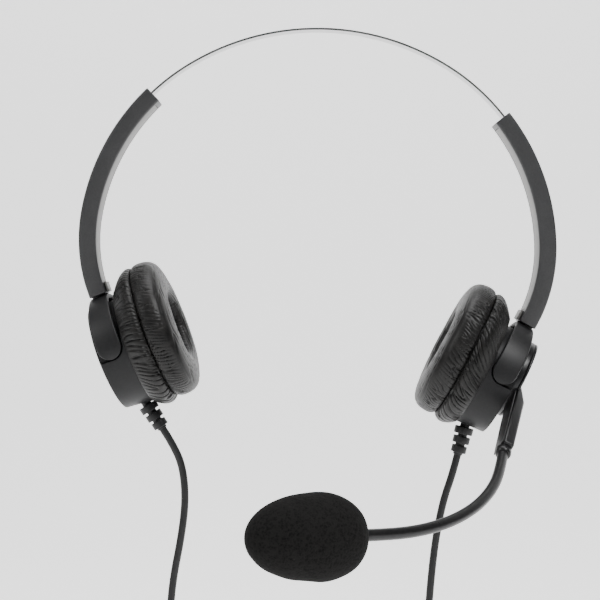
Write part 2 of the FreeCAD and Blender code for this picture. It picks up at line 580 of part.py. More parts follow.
def cords(exits):
    spread = {"right": Vector(-2.6, 0, 0), "left": Vector(2.6, 0, 0)}
    middle = {
        "right": [(-53.6, -174.5), (-52.5, -188.0), (-54.4, -203.0), (-57.6, -219.0),
                  (-59.0, -235.0), (-56.0, -251.0), (-47.0, -266.0), (-33.5, -278.0),
                  (-20.0, -288.5)],
        "left": [(50.5, -187.5), (47.6, -202.0), (45.7, -217.5), (44.5, -233.0),
                 (40.0, -249.0), (30.0, -263.0), (17.0, -275.0), (3.6, -287.0)],
    }
    for side, (start, way) in exits.items():
        points = [start, start + way * 8] + [Vector(x, 0, z) for x, z in middle[side]]
        points.append(JOINT_TOP + spread[side])
        node(tube("cable_" + side, points, "cableRadius"))
    drop = Placement(JOINT_TOP, Rotation(X, -Z))
    node(turned("cable_joint", [
        ("0", "0"), ("0", "jointRadius"), ("0.5*jointLong", "jointRadius"),
        ("jointLong", "jointTip"), ("jointLong", "0")], drop))
    trunk_top = JOINT_TOP - Z * dim["jointLong"]
    coil_centre = trunk_top + Vector(dim["coilRadius"], 0, -34)
    side_of_coil = coil_centre - X * dim["coilRadius"]
    node(tube("trunk_cable", [trunk_top, trunk_top + Vector(-0.9, 0, -11),
                              side_of_coil + Z * 15], "trunkRadius"))
    coil = doc.addObject("Part::Torus", "trunk_coil")
    coil.setExpression("Radius1", bound("coilRadius"))
    coil.setExpression("Radius2", bound("coilBundle"))
    coil.Placement = Placement(coil_centre, Rotation(Z, Y))
    node(coil)
    tie_start = coil_centre + Vector(-dim["tieLong"] / 2, 0, dim["coilRadius"])
    node(cut("coil_tie", rod("tie_outer", "coilBundle + tieGap + tieThick", "tieLong", tie_start, X),
             rod("tie_inner", "coilBundle + tieGap", "tieLong", tie_start, X)))
    tail_top = side_of_coil - Z * 15
    plug_top = tail_top + Vector(0.6, 0, -24)
    node(tube("plug_cable", [tail_top, tail_top + Vector(-0.8, 0, -11), plug_top], "trunkRadius"))
    plug = doc.addObject("Part::Box", "plug_body")
    plug.setExpression("Length", bound("plugWide"))
    plug.setExpression("Width", bound("plugHigh"))
    plug.setExpression("Height", bound("plugLong"))
    corner = plug_top - Vector(dim["plugWide"] / 2, dim["plugHigh"] / 2, dim["plugLong"])
    plug.Placement = Placement(corner, Rotation())
    node(plug)
    contacts = []
    for index in range(4):
        blade = doc.addObject("Part::Box", "contact%d" % index)
        blade.setExpression("Length", bound("contactWide"))
        blade.setExpression("Width", bound("contactHigh"))
        blade.setExpression("Height", bound("contactLong"))
        shift = (index - 1.5) * dim["contactPitch"] - dim["contactWide"] / 2
        blade.Placement = Placement(plug_top + Vector(shift, -dim["plugHigh"] / 2 - dim["contactHigh"],
                                                      -dim["plugLong"] + 0.8), Rotation())
        contacts.append(blade)
    group = doc.addObject("Part::Compound", "plug_contacts")
    group.Links = contacts
    node(group)


head_strip()
exits = {}
for side in SIDES:
    arm(side)
    fork(side)
    cup_shell(side)
    speaker(side)
    ear_pad(side)
    exits[side] = cable_sleeve(side)
boom()
cords(exits)
doc.recompute()

for item in doc.Objects:
    if "Invalid" in item.State or "Error" in item.State:
        raise RuntimeError("%s did not build: %s" % (item.Label, item.State))
os.makedirs("parts", exist_ok=True)
for solid in nodes:
    shape = solid.Shape
    if shape.isNull() or not shape.isValid() or not shape.Solids:
        raise RuntimeError("%s has no valid solid" % solid.Label)
    print("%-22s %2d solid(s) %9.1f mm3" % (solid.Label, len(shape.Solids), shape.Volume))
    shape.exportStep("parts/%s.step" % solid.Label)
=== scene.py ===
import bmesh
import bpy
import math
import numpy as np
from mathutils import Matrix, Vector


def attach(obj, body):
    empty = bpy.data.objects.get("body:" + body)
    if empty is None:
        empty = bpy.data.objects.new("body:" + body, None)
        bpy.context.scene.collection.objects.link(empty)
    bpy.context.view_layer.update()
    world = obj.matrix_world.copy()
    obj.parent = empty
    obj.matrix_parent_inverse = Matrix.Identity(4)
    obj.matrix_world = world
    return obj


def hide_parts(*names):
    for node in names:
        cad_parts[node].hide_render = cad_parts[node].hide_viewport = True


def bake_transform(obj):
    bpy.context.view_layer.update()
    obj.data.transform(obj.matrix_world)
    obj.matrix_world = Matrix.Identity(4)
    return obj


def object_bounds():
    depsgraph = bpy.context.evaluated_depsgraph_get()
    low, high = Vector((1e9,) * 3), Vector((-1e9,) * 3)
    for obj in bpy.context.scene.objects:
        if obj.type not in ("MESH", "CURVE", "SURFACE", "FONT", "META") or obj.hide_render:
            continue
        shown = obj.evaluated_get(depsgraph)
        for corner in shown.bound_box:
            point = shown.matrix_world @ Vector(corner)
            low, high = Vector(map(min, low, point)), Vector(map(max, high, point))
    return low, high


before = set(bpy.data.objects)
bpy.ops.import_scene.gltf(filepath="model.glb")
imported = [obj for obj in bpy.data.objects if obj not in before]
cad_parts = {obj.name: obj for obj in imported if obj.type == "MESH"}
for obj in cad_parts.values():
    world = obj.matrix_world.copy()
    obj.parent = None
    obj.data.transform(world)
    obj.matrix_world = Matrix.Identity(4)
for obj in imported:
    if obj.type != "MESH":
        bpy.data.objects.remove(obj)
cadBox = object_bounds()

# Every size below is in millimetres and degrees, in the headset's own frame:
# +Z up, +X to the wearer's left, -Y in front of the face.
millimetre = 0.001
sides = {"right": Matrix.Rotation(math.pi, 4, "Z"), "left": Matrix.Identity(4)}


head = {"crownRadius": 98.04, "sideRadius": 85.7, "spliceAngle": 32.15, "halfStrip": 0.4}
arm = {
    "outer": 88.2, "thick": 6.9, "deep": 13.0, "wall": 1.2, "side": 1.3,
    "topAngle": 43.5, "turnAngle": 80.1, "lowOuter": 64.4, "endAngle": 111.4,
    "capSweep": 1.5, "footSweep": 4.7, "slide": {"right": 0.0, "left": 8.5},
    "cornerRound": 0.7, "slotWide": 6.8, "slotHigh": 1.6, "endRound": 0.3,
}
fork = {
    "inner": 21.3, "outer": 23.4, "top": 20.8, "gap": 0.27, "yaw": -2.5,
    "endRadius": 4.8, "shoulder": 16.5, "shoulderHalf": 4.4, "topHalf": 3.4, "bow": 0.45,
    "edgeRound": 0.55,
}
cup = {
    "tip": {"right": -1.4, "left": -2.4}, "pivotOut": 15.3, "drop": 2.6,
    "front": 2.0, "frontRadius": 23.7, "edge": 20.7, "edgeRadius": 22.2,
    "apex": {"right": 23.7, "left": 20.7}, "floor": 20.0, "span": 5.15, "flare": 3.0,
    "fanHigh": 24.0, "lip": 0.2, "cavityBack": 19.2, "cavityRadius": 18.4, "cavityFront": 20.6,
}
sleeve = {"out": 13.3, "wallRadius": 22.4, "lean": {"right": 13.0, "left": -13.0}}
boom = {"rotorOut": 21.0, "rest": 61.0}


def shift(x, y, z):
    return Matrix.Translation((x, y, z))


def turn(degrees, axis):
    return Matrix.Rotation(math.radians(degrees), 4, axis)


def aroundCircle(centre, radius, degrees):
    # The point at an angle from straight up, on a circle in the XZ plane.
    return centre + Vector((math.sin(math.radians(degrees)), 0, math.cos(math.radians(degrees)))) * radius


sideCentre = aroundCircle(Vector((0, 0, -head["crownRadius"])),
                          head["crownRadius"] - head["sideRadius"], head["spliceAngle"])
lowCentre = aroundCircle(sideCentre, arm["outer"] - arm["lowOuter"], arm["turnAngle"])
footLean = turn(arm["endAngle"] - 90, "Y")
pivot = (aroundCircle(lowCentre, arm["lowOuter"] - arm["thick"] / 2, arm["endAngle"])
         - footLean @ Vector((0, 0, fork["top"] + fork["gap"])))

armPlace, forkPlace, cupPlace, sleevePlace = {}, {}, {}, {}
for side, mirror in sides.items():
    slideTurn = shift(*sideCentre) @ turn(arm["slide"][side], "Y") @ shift(*-sideCentre)
    armPlace[side] = mirror @ slideTurn
    forkPlace[side] = armPlace[side] @ shift(*pivot) @ footLean @ turn(fork["yaw"], "Z")
    cupPlace[side] = forkPlace[side] @ turn(cup["tip"][side], "Y") @ shift(-cup["pivotOut"], 0, 0)
    sleevePlace[side] = (cupPlace[side] @ shift(sleeve["out"], 0, -cup["drop"] - sleeve["wallRadius"])
                         @ turn(90 + sleeve["lean"][side], "Y"))
boomPlace = cupPlace["left"] @ shift(boom["rotorOut"], 0, 0) @ turn(-boom["rest"], "X")


def sheetFaces(loopCount, pointCount, closedAlong=False):
    # Quads between neighbouring loops, each loop closed on itself.
    index = np.arange(loopCount * pointCount).reshape(loopCount, pointCount)
    after = np.roll(index, -1, 0) if closedAlong else index[1:]
    before = index if closedAlong else index[:-1]
    quads = np.stack([before, np.roll(before, -1, 1), np.roll(after, -1, 1), after], -1)
    return quads.reshape(-1, 4).tolist()


def loft(loops, closedAlong=False, startCap=None, endCap=None):
    # Points and faces of a stack; a cap is "flat", one polygon, or "point", a fan to the middle.
    loops = np.asarray(loops, float)
    loopCount, pointCount = loops.shape[:2]
    points = loops.reshape(-1, 3)
    faces = sheetFaces(loopCount, pointCount, closedAlong)
    for cap, first in ((startCap, 0), (endCap, (loopCount - 1) * pointCount)):
        rim = np.arange(first, first + pointCount)
        if cap == "flat":
            faces.append(rim.tolist())
        elif cap == "point":
            middle = len(points)
            points = np.vstack([points, points[rim].mean(0)])
            faces += np.stack([rim, np.roll(rim, -1), np.full(pointCount, middle)], -1).tolist()
    return points, faces


def capped(loops):
    # A stack closed by a flat face at each end.
    return loft(loops, startCap="flat", endCap="flat")


def buildPiece(name, surfaces, place, finish, body, nodes=(), sharpAngle=32):
    # One mesh object from lofted surfaces, put in place, with its faces outward.
    points, faces, start = [], [], 0
    for surfacePoints, surfaceFaces in surfaces:
        points.append(surfacePoints)
        faces += [[corner + start for corner in face] for face in surfaceFaces]
        start += len(surfacePoints)
    points = np.vstack(points)
    matrix = np.array(place)
    points = (points @ matrix[:3, :3].T + matrix[:3, 3]) * millimetre
    mesh = bpy.data.meshes.new(name)
    mesh.from_pydata(points.tolist(), [], faces)
    outward = bmesh.new()
    outward.from_mesh(mesh)
    bmesh.ops.recalc_face_normals(outward, faces=outward.faces)
    outward.to_mesh(mesh)
    outward.free()
    mesh.shade_smooth()
    mesh.set_sharp_from_angle(angle=math.radians(sharpAngle))
    mesh.materials.append(finish)
    piece = bpy.data.objects.new(name, mesh)
    bpy.context.scene.collection.objects.link(piece)
    if body:
        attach(piece, body)
    if nodes:
        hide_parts(*nodes)
    return piece


def roundedBox(halfA, halfB, radius, steps=4):
    # Loops of a rectangle with rounded corners: corner centre plus radius times the unit arc.
    halfA, halfB, radius = np.broadcast_arrays(*[np.atleast_1d(np.asarray(v, float))
                                                 for v in (halfA, halfB, radius)])
    radius = np.minimum(radius, 0.98 * np.minimum(halfA, halfB))
    angle = np.linspace(0, math.pi / 2, steps + 1)
    arcs, centres = [], []
    for quarter, (signA, signB) in enumerate(((1, 1), (-1, 1), (-1, -1), (1, -1))):
        arcs.append(np.stack([np.cos(angle + quarter * math.pi / 2),
                              np.sin(angle + quarter * math.pi / 2)], -1))
        centres.append(np.broadcast_to([signA, signB], arcs[-1].shape))
    arcs, centres = np.vstack(arcs), np.vstack(centres)
    inset = np.stack([halfA - radius, halfB - radius], -1)
    return centres * inset[:, None, :] + arcs * radius[:, None, None]


def roundedEnds(start, end, radius, steps=5):
    # Stations along a bar whose ends are rounded, and how far each one's section is inset.
    angle = np.linspace(0, math.pi / 2, steps + 1)
    depth, inset = radius * (1 - np.cos(angle)), radius * (1 - np.sin(angle))
    sign = math.copysign(1, end - start)
    return (np.concatenate([start + sign * depth, end - sign * depth[::-1]]),
            np.concatenate([inset, inset[::-1]]))


def softCorners(corners, radius, steps=5):
    # An open outline whose inner corners are rounded by quadratic Bezier curves.
    corners = np.asarray(corners, float)
    outline = [corners[:1]]
    share = np.linspace(0, 1, steps + 1)[:, None]
    for before, corner, after in zip(corners, corners[1:], corners[2:]):
        reach = [min(radius, 0.49 * np.linalg.norm(other - corner)) for other in (before, after)]
        first = corner + (before - corner) / np.linalg.norm(before - corner) * reach[0]
        last = corner + (after - corner) / np.linalg.norm(after - corner) * reach[1]
        outline.append((1 - share) ** 2 * first + 2 * share * (1 - share) * corner + share ** 2 * last)
    outline.append(corners[-1:])
    return np.vstack(outline)


def cutCorners(points, times, closed=True):
    # A smooth line from a few points: each pass keeps the quarter points of every run.
    points = np.asarray(points, float)
    for _ in range(times):
        after = np.roll(points, -1, 0)
        pair = np.stack([0.75 * points + 0.25 * after, 0.25 * points + 0.75 * after], 1)
        if closed:
            points = pair.reshape(-1, points.shape[1])
        else:
            points = np.vstack([points[:1], pair[:-1].reshape(-1, points.shape[1]), points[-1:]])
    return points


def turnedLoops(profile, count, drop=0.0):
    # A profile of (distance along X, radius) carried round the X axis.
    angle = np.linspace(0, 2 * math.pi, count, endpoint=False)
    along, radius = np.asarray(profile, float).T
    return np.stack([np.broadcast_to(along[:, None], (len(along), count)),
                     radius[:, None] * np.sin(angle),
                     radius[:, None] * np.cos(angle) - drop], -1)


def tubeLoops(path, radius, across, count=20):
    # A circle carried along a path that lies near the plane square to across.
    ahead = np.gradient(path, axis=0)
    ahead /= np.linalg.norm(ahead, axis=1)[:, None]
    sideways = np.cross(ahead, across)
    sideways /= np.linalg.norm(sideways, axis=1)[:, None]
    upward = np.cross(sideways, ahead)
    angle = np.linspace(0, 2 * math.pi, count, endpoint=False)
    radius = np.broadcast_to(radius, len(path))[:, None, None]
    return (path[:, None] + radius * (np.cos(angle)[None, :, None] * sideways[:, None]
                                      + np.sin(angle)[None, :, None] * upward[:, None]))


def smoothStep(value):
    value = np.clip(value, 0, 1)
    return value * value * (3 - 2 * value)


def splineThrough(name, points):
    # A NURBS curve with these control points, in metres.
    curve = bpy.data.curves.new(name, "CURVE")
    curve.dimensions = "3D"
    spline = curve.splines.new("NURBS")
    spline.points.add(len(points) - 1)
    flat = np.ones((len(points), 4))
    flat[:, :3] = np.asarray(points) * millimetre
    spline.points.foreach_set("co", flat.ravel())
    spline.order_u = 3
    spline.use_endpoint_u = True
    spline.resolution_u = 12
    piece = bpy.data.objects.new(name, curve)
    bpy.context.scene.collection.objects.link(piece)
    return piece


def splinePath(points):
    # Points along the spline of a route, in millimetres, read back from Blender.
    guide = splineThrough("guide", points)
    mesh = bpy.data.meshes.new_from_object(guide)
    path = np.zeros(len(mesh.vertices) * 3)
    mesh.vertices.foreach_get("co", path)
    curve = guide.data
    bpy.data.objects.remove(guide)
    bpy.data.curves.remove(curve)
    bpy.data.meshes.remove(mesh)
    return path.reshape(-1, 3) / millimetre


def newGroup(name, inputs, outputs):
    # An empty shader group with float or vector inputs and float outputs.
    group = bpy.data.node_groups.new(name, "ShaderNodeTree")
    for label, value in inputs.items():
        kind = "NodeSocketVector" if value is None else "NodeSocketFloat"
        socket = group.interface.new_socket(label, in_out="INPUT", socket_type=kind)
        if value is not None:
            socket.default_value = value
    for label in outputs:
        group.interface.new_socket(label, in_out="OUTPUT", socket_type="NodeSocketFloat")
    return group, group.nodes.new("NodeGroupInput").outputs, group.nodes.new("NodeGroupOutput").inputs


def finishGroup(group, out, mask, height):
    group.links.new(height, out["Height"])
    group.links.new(mask, out["Mask"])
    return group


def feed(tree, socket, value):
    # A number is set on the socket; another node's output is linked to it.
    if isinstance(value, (int, float)):
        socket.default_value = value
    elif value is not None:
        tree.links.new(value, socket)


def mathNode(tree, operation, *values):
    node = tree.nodes.new("ShaderNodeMath")
    node.operation = operation
    for socket, value in zip(node.inputs, values):
        feed(tree, socket, value)
    return node.outputs[0]


def remap(tree, value, low, high, toLow, toHigh):
    node = tree.nodes.new("ShaderNodeMapRange")
    for label, entry in (("Value", value), ("From Min", low), ("From Max", high), ("To Min", toLow),
                         ("To Max", toHigh)):
        feed(tree, node.inputs[label], entry)
    return node.outputs["Result"]


def noiseNode(tree, vector, scale, detail=4.0, roughness=0.55):
    node = tree.nodes.new("ShaderNodeTexNoise")
    for label, entry in (("Vector", vector), ("Scale", scale), ("Detail", detail), ("Roughness", roughness)):
        feed(tree, node.inputs[label], entry)
    return node.outputs["Fac"]


def voronoiNode(tree, vector, scale, feature="F1"):
    node = tree.nodes.new("ShaderNodeTexVoronoi")
    node.feature = feature
    feed(tree, node.inputs["Vector"], vector)
    feed(tree, node.inputs["Scale"], scale)
    return node.outputs["Distance"]


def makeHandling():
    # Cloudy wear and dust: how much a surface has been handled, 0 to 1, and a faint height.
    group, into, out = newGroup("handling", {"Vector": None, "Scale": 60.0, "Amount": 0.5},
                                ["Mask", "Height"])
    vector, scale, amount = into["Vector"], into["Scale"], into["Amount"]
    cloud = noiseNode(group, vector, scale, 5.0, 0.6)
    fine = noiseNode(group, vector, mathNode(group, "MULTIPLY", scale, 17.0), 3.0)
    patch = remap(group, cloud, 0.42, 0.68, 0.0, 1.0)
    mixed = mathNode(group, "MULTIPLY", mathNode(group, "MULTIPLY_ADD", fine, 0.5, patch), amount)
    return finishGroup(group, out, mixed, fine)


def makeMouldGrain():
    # The fine spark-eroded grain of moulded plastic: small rounded pits between noise.
    group, into, out = newGroup("mouldGrain", {"Vector": None, "Scale": 2600.0}, ["Mask", "Height"])
    vector, scale = into["Vector"], into["Scale"]
    pits = voronoiNode(group, vector, scale)
    haze = noiseNode(group, vector, mathNode(group, "MULTIPLY", scale, 0.6), 3.0)
    height = mathNode(group, "MULTIPLY_ADD", haze, 0.6, mathNode(group, "MULTIPLY", pits, 0.5))
    return finishGroup(group, out, remap(group, haze, 0.3, 0.7, 0.0, 1.0), height)


def makeHideGrain():
    # Leather grain: cells parted by narrow valleys, with softer creases under them.
    group, into, out = newGroup("hideGrain", {"Vector": None, "Scale": 900.0}, ["Mask", "Height"])
    vector, scale = into["Vector"], into["Scale"]
    valleys = voronoiNode(group, vector, scale, "DISTANCE_TO_EDGE")
    cells = remap(group, valleys, 0.0, 0.16, 0.0, 1.0)
    creases = noiseNode(group, vector, mathNode(group, "MULTIPLY", scale, 0.22), 6.0, 0.7)
    height = mathNode(group, "MULTIPLY_ADD", creases, 1.6, mathNode(group, "MULTIPLY", cells, 0.5))
    return finishGroup(group, out, remap(group, creases, 0.35, 0.7, 0.0, 1.0), height)


def makeWeave():
    # Plain weave over two coordinates: warp and weft threads rise in turn.
    group, into, out = newGroup("weave", {"Vector": None, "Threads": 2200.0}, ["Mask", "Height"])
    vector, threads = into["Vector"], into["Threads"]
    apart = group.nodes.new("ShaderNodeSeparateXYZ")
    group.links.new(vector, apart.inputs[0])
    waves = [mathNode(group, "SINE", mathNode(group, "MULTIPLY", apart.outputs[axis], threads))
             for axis in ("Y", "Z")]
    height = mathNode(group, "ABSOLUTE", mathNode(group, "MULTIPLY", waves[0], waves[1]))
    return finishGroup(group, out, remap(group, height, 0.1, 0.8, 0.0, 1.0), height)


def makePores():
    # Open-cell foam: dark round cells of two sizes between thin walls.
    group, into, out = newGroup("pores", {"Vector": None, "Scale": 1500.0}, ["Mask", "Height"])
    vector, scale = into["Vector"], into["Scale"]
    small = voronoiNode(group, vector, scale)
    large = voronoiNode(group, vector, mathNode(group, "MULTIPLY", scale, 0.45))
    height = mathNode(group, "MULTIPLY_ADD", large, 0.7, small)
    return finishGroup(group, out, remap(group, height, 0.25, 1.0, 0.0, 1.0), height)


def makeBrushing():
    # Fine scratches drawn out along the strip: noise stretched along Z and X.
    group, into, out = newGroup("brushing", {"Vector": None, "Scale": 4000.0}, ["Mask", "Height"])
    vector, scale = into["Vector"], into["Scale"]
    stretch = group.nodes.new("ShaderNodeVectorMath")
    stretch.operation = "MULTIPLY"
    stretch.inputs[1].default_value = (0.03, 1.0, 0.03)
    group.links.new(vector, stretch.inputs[0])
    lines = noiseNode(group, stretch.outputs[0], scale, 4.0, 0.7)
    return finishGroup(group, out, remap(group, lines, 0.3, 0.7, 0.0, 1.0), lines)


groups = {"handling": makeHandling(), "mouldGrain": makeMouldGrain(), "hideGrain": makeHideGrain(),
          "weave": makeWeave(), "pores": makePores(), "brushing": makeBrushing()}


def makeFinish(name, dark, light, rough, grain, grainScale, bump, handled=0.35,
               metallic=0.0, specular=0.5, sheen=0.0, transmission=0.0, ior=1.5):
    # A Principled finish whose colour and roughness run between two values over a grain.
    material = bpy.data.materials.new(name)
    material.use_nodes = True
    tree = material.node_tree
    shader = tree.nodes["Principled BSDF"]
    coords = tree.nodes.new("ShaderNodeTexCoord").outputs["Object"]
    texture = tree.nodes.new("ShaderNodeGroup")
    texture.node_tree = groups[grain]
    tree.links.new(coords, texture.inputs["Vector"])
    texture.inputs[1].default_value = grainScale
    wear = tree.nodes.new("ShaderNodeGroup")
    wear.node_tree = groups["handling"]
    tree.links.new(coords, wear.inputs["Vector"])
    wear.inputs["Amount"].default_value = handled
    share = mathNode(tree, "MULTIPLY_ADD", texture.outputs["Mask"], 0.55,
                     mathNode(tree, "MULTIPLY", wear.outputs["Mask"], 0.6))
    colour = tree.nodes.new("ShaderNodeMix")
    colour.data_type = "RGBA"
    tree.links.new(share, colour.inputs["Factor"])
    colour.inputs["A"].default_value = (*dark, 1)
    colour.inputs["B"].default_value = (*light, 1)
    tree.links.new(colour.outputs["Result"], shader.inputs["Base Color"])
    tree.links.new(remap(tree, share, 0.0, 1.0, rough[0], rough[1]), shader.inputs["Roughness"])
    relief = tree.nodes.new("ShaderNodeBump")
    relief.inputs["Strength"].default_value = bump[0]
    relief.inputs["Distance"].default_value = bump[1] * millimetre
    tree.links.new(texture.outputs["Height"], relief.inputs["Height"])
    tree.links.new(relief.outputs["Normal"], shader.inputs["Normal"])
    for label, value in (("Metallic", metallic), ("Specular IOR Level", specular), ("IOR", ior),
                         ("Sheen Weight", sheen), ("Transmission Weight", transmission)):
        shader.inputs[label].default_value = value
    return material


finishValues = {  # dark and light colour, roughness range, grain and its scale, relief strength and depth
    "polishedSteel": ((0.50, 0.50, 0.51), (0.66, 0.66, 0.66), (0.12, 0.26),
        "brushing", 4000.0, (0.10, 0.02), {"metallic": 1.0}),
    "platedSteel": ((0.46, 0.46, 0.47), (0.60, 0.60, 0.60), (0.22, 0.34),
        "brushing", 3000.0, (0.15, 0.02), {"metallic": 1.0}),
    "armPlastic": ((0.020, 0.020, 0.021), (0.036, 0.036, 0.037), (0.32, 0.44),
        "mouldGrain", 2600.0, (0.20, 0.03), {"specular": 0.6}),
    "forkPlastic": ((0.005, 0.005, 0.0055), (0.012, 0.012, 0.0125), (0.42, 0.52),
        "mouldGrain", 2600.0, (0.20, 0.03), {"specular": 0.3}),
    # the arm cover's pale grey is painted reflection: it stands in for the white surroundings that the arm's
    # inner face mirrors at a grazing angle
    "coverPaintedReflection": ((0.10, 0.097, 0.093), (0.15, 0.146, 0.14), (0.34, 0.46),
        "mouldGrain", 2600.0, (0.20, 0.03), {"specular": 0.6}),
    "cupPlastic": ((0.004, 0.004, 0.0045), (0.010, 0.010, 0.0105), (0.40, 0.52),
        "mouldGrain", 2200.0, (0.25, 0.03), {"specular": 0.22}),
    "boomPlastic": ((0.004, 0.004, 0.0045), (0.010, 0.010, 0.0105), (0.28, 0.40),
        "mouldGrain", 2600.0, (0.15, 0.03), {"specular": 0.35}),
    "leatherette": ((0.003, 0.003, 0.003), (0.014, 0.013, 0.012), (0.32, 0.50),
        "hideGrain", 1100.0, (0.35, 0.08), {"specular": 0.25}),
    "earCloth": ((0.004, 0.004, 0.0045), (0.020, 0.020, 0.021), (0.85, 0.95),
        "weave", 5200.0, (0.8, 0.12), {"sheen": 0.3}),
    "softRubber": ((0.005, 0.005, 0.0055), (0.014, 0.014, 0.014), (0.38, 0.52),
        "mouldGrain", 1800.0, (0.20, 0.03), {"specular": 0.3}),
    "tieBand": ((0.006, 0.006, 0.007), (0.024, 0.024, 0.026), (0.5, 0.62),
        "weave", 3600.0, (0.5, 0.08), {}),
    "neckSleeve": ((0.004, 0.004, 0.0045), (0.012, 0.012, 0.012), (0.26, 0.38),
        "mouldGrain", 1800.0, (0.15, 0.03), {"specular": 0.3}),
    "foam": ((0.002, 0.002, 0.002), (0.016, 0.0155, 0.015), (0.85, 0.98),
        "pores", 1500.0, (0.6, 0.12), {"handled": 0.15, "specular": 0.06}),
    "magnetSteel": ((0.35, 0.35, 0.36), (0.5, 0.5, 0.5), (0.3, 0.45),
        "brushing", 2500.0, (0.2, 0.03), {"metallic": 1.0}),
    "coneFilm": ((0.10, 0.10, 0.095), (0.18, 0.175, 0.16), (0.35, 0.5), "weave", 2400.0, (0.3, 0.05), {}),
    "capsuleMetal": ((0.42, 0.41, 0.38), (0.55, 0.54, 0.5), (0.25, 0.4),
        "brushing", 3000.0, (0.2, 0.03), {"metallic": 1.0}),
    "clearPlastic": ((0.80, 0.82, 0.83), (0.9, 0.91, 0.92), (0.06, 0.16),
        "mouldGrain", 1500.0, (0.08, 0.03), {"transmission": 0.92, "ior": 1.52}),
    "goldContact": ((0.75, 0.55, 0.22), (0.86, 0.66, 0.30), (0.18, 0.3),
        "brushing", 5000.0, (0.1, 0.02), {"metallic": 1.0}),
}
finishes = {name: makeFinish(name, *values, **extra) for name, (*values, extra) in finishValues.items()}
print("finishes: %d, from %d shared groups" % (len(finishes), len(groups)))


keptNodes = {
    "polishedSteel": ["head_strip"],
    "platedSteel": ["boom_screw"] + [stem + side for side in sides for stem in (
        "strip_stop_", "tilt_pins_", "swivel_pin_", "swivel_clip_", "cup_screws_")],
    "armPlastic": ["strip_guide_" + side for side in sides],
    "cupPlastic": ["mic_housing"] + [stem + side for side in sides for stem in ("baffle_", "speaker_frame_")],
    "magnetSteel": ["speaker_magnet_" + side for side in sides],
    "coneFilm": ["speaker_cone_" + side for side in sides],
    "capsuleMetal": ["mic_capsule"],
    "goldContact": ["plug_contacts"],
}
for finishName, names in keptNodes.items():
    for name in names:
        for materialSlot in bpy.data.objects[name].material_slots:
            materialSlot.link = "OBJECT"
            materialSlot.material = finishes[finishName]


def aimCamera():
    data = bpy.data.cameras.new("camera")
    data.lens, data.sensor_width = 80, 36
    camera = bpy.data.objects.new("camera", data)
    camera.location = Vector((-6.8, -533.3, -107.55)) * millimetre
    camera.rotation_euler = (math.pi / 2, 0, 0)
    bpy.context.scene.collection.objects.link(camera)
    bpy.context.scene.camera = camera


def makeFloor():
    # A pale floor that rises behind in one sweep: height runs as a quarter circle, then up.
    setting = {"drop": 30, "near": -3500, "bendStart": 900, "bendRadius": 900, "top": 2600, "half": 4000}
    lowest = cadBox[0][2] / millimetre - setting["drop"]
    angle = np.linspace(0, math.pi / 2, 25)
    depth = np.concatenate([[setting["near"]], setting["bendStart"] + setting["bendRadius"] * np.sin(angle),
                            [setting["bendStart"] + setting["bendRadius"]]])
    height = np.concatenate([[0], setting["bendRadius"] * (1 - np.cos(angle)), [setting["top"]]]) + lowest
    across = np.array([-setting["half"], setting["half"]])
    points = np.stack([np.broadcast_to(across, (len(depth), 2)),
                       np.broadcast_to(depth[:, None], (len(depth), 2)),
                       np.broadcast_to(height[:, None], (len(depth), 2))], -1).reshape(-1, 3) * millimetre
    index = np.arange(len(depth) * 2).reshape(-1, 2)
    faces = np.stack([index[:-1, 0], index[:-1, 1], index[1:, 1], index[1:, 0]], -1).tolist()
    mesh = bpy.data.meshes.new("floor")
    mesh.from_pydata(points.tolist(), [], faces)
    mesh.shade_smooth()
    material = bpy.data.materials.new("palePaper")
    material.use_nodes = True
    shader = material.node_tree.nodes["Principled BSDF"]
    shader.inputs["Base Color"].default_value = (0.90, 0.90, 0.90, 1)
    shader.inputs["Roughness"].default_value = 0.9
    shader.inputs["Emission Color"].default_value = (1, 1, 1, 1)
    shader.inputs["Emission Strength"].default_value = 1.0
    mesh.materials.append(material)
    floor = bpy.data.objects.new("floor", mesh)
    bpy.context.scene.collection.objects.link(floor)


def placeLights():
    lights = {  # place, aim, size and power, in metres and watts
        "keyLight": ((0.7, -0.9, 1.1), (0, 0, -0.12), 0.6, 22),
        "fillLight": ((-1.1, -0.7, 0.7), (0, 0, -0.1), 0.7, 8),
        "topLight": ((0.0, 0.1, 1.2), (0, 0, -0.1), 0.9, 18),
    }
    for name, (place, aim, size, power) in lights.items():
        data = bpy.data.lights.new(name, "AREA")
        data.size, data.energy = size, power
        light = bpy.data.objects.new(name, data)
        light.location = place
        light.rotation_euler = (Vector(aim) - Vector(place)).to_track_quat("-Z", "Y").to_euler()
        bpy.context.scene.collection.objects.link(light)
    world = bpy.data.worlds.new("studio")
    world.use_nodes = True
    tree = world.node_tree
    backdrop, surround = tree.nodes["Background"], tree.nodes.new("ShaderNodeBackground")
    backdrop.inputs["Color"].default_value = (1, 1, 1, 1)
    backdrop.inputs["Strength"].default_value = 1.9
    surround.inputs["Strength"].default_value = 0.22
    choose = tree.nodes.new("ShaderNodeMixShader")  # seen directly it is pale, as a light it is dim
    tree.links.new(tree.nodes.new("ShaderNodeLightPath").outputs["Is Camera Ray"], choose.inputs["Fac"])
    tree.links.new(surround.outputs[0], choose.inputs[1])
    tree.links.new(backdrop.outputs[0], choose.inputs[2])
    tree.links.new(choose.outputs[0], tree.nodes["World Output"].inputs["Surface"])
    bpy.context.scene.world = world


aimCamera()
makeFloor()
placeLights()
print("camera, floor and lights are set")


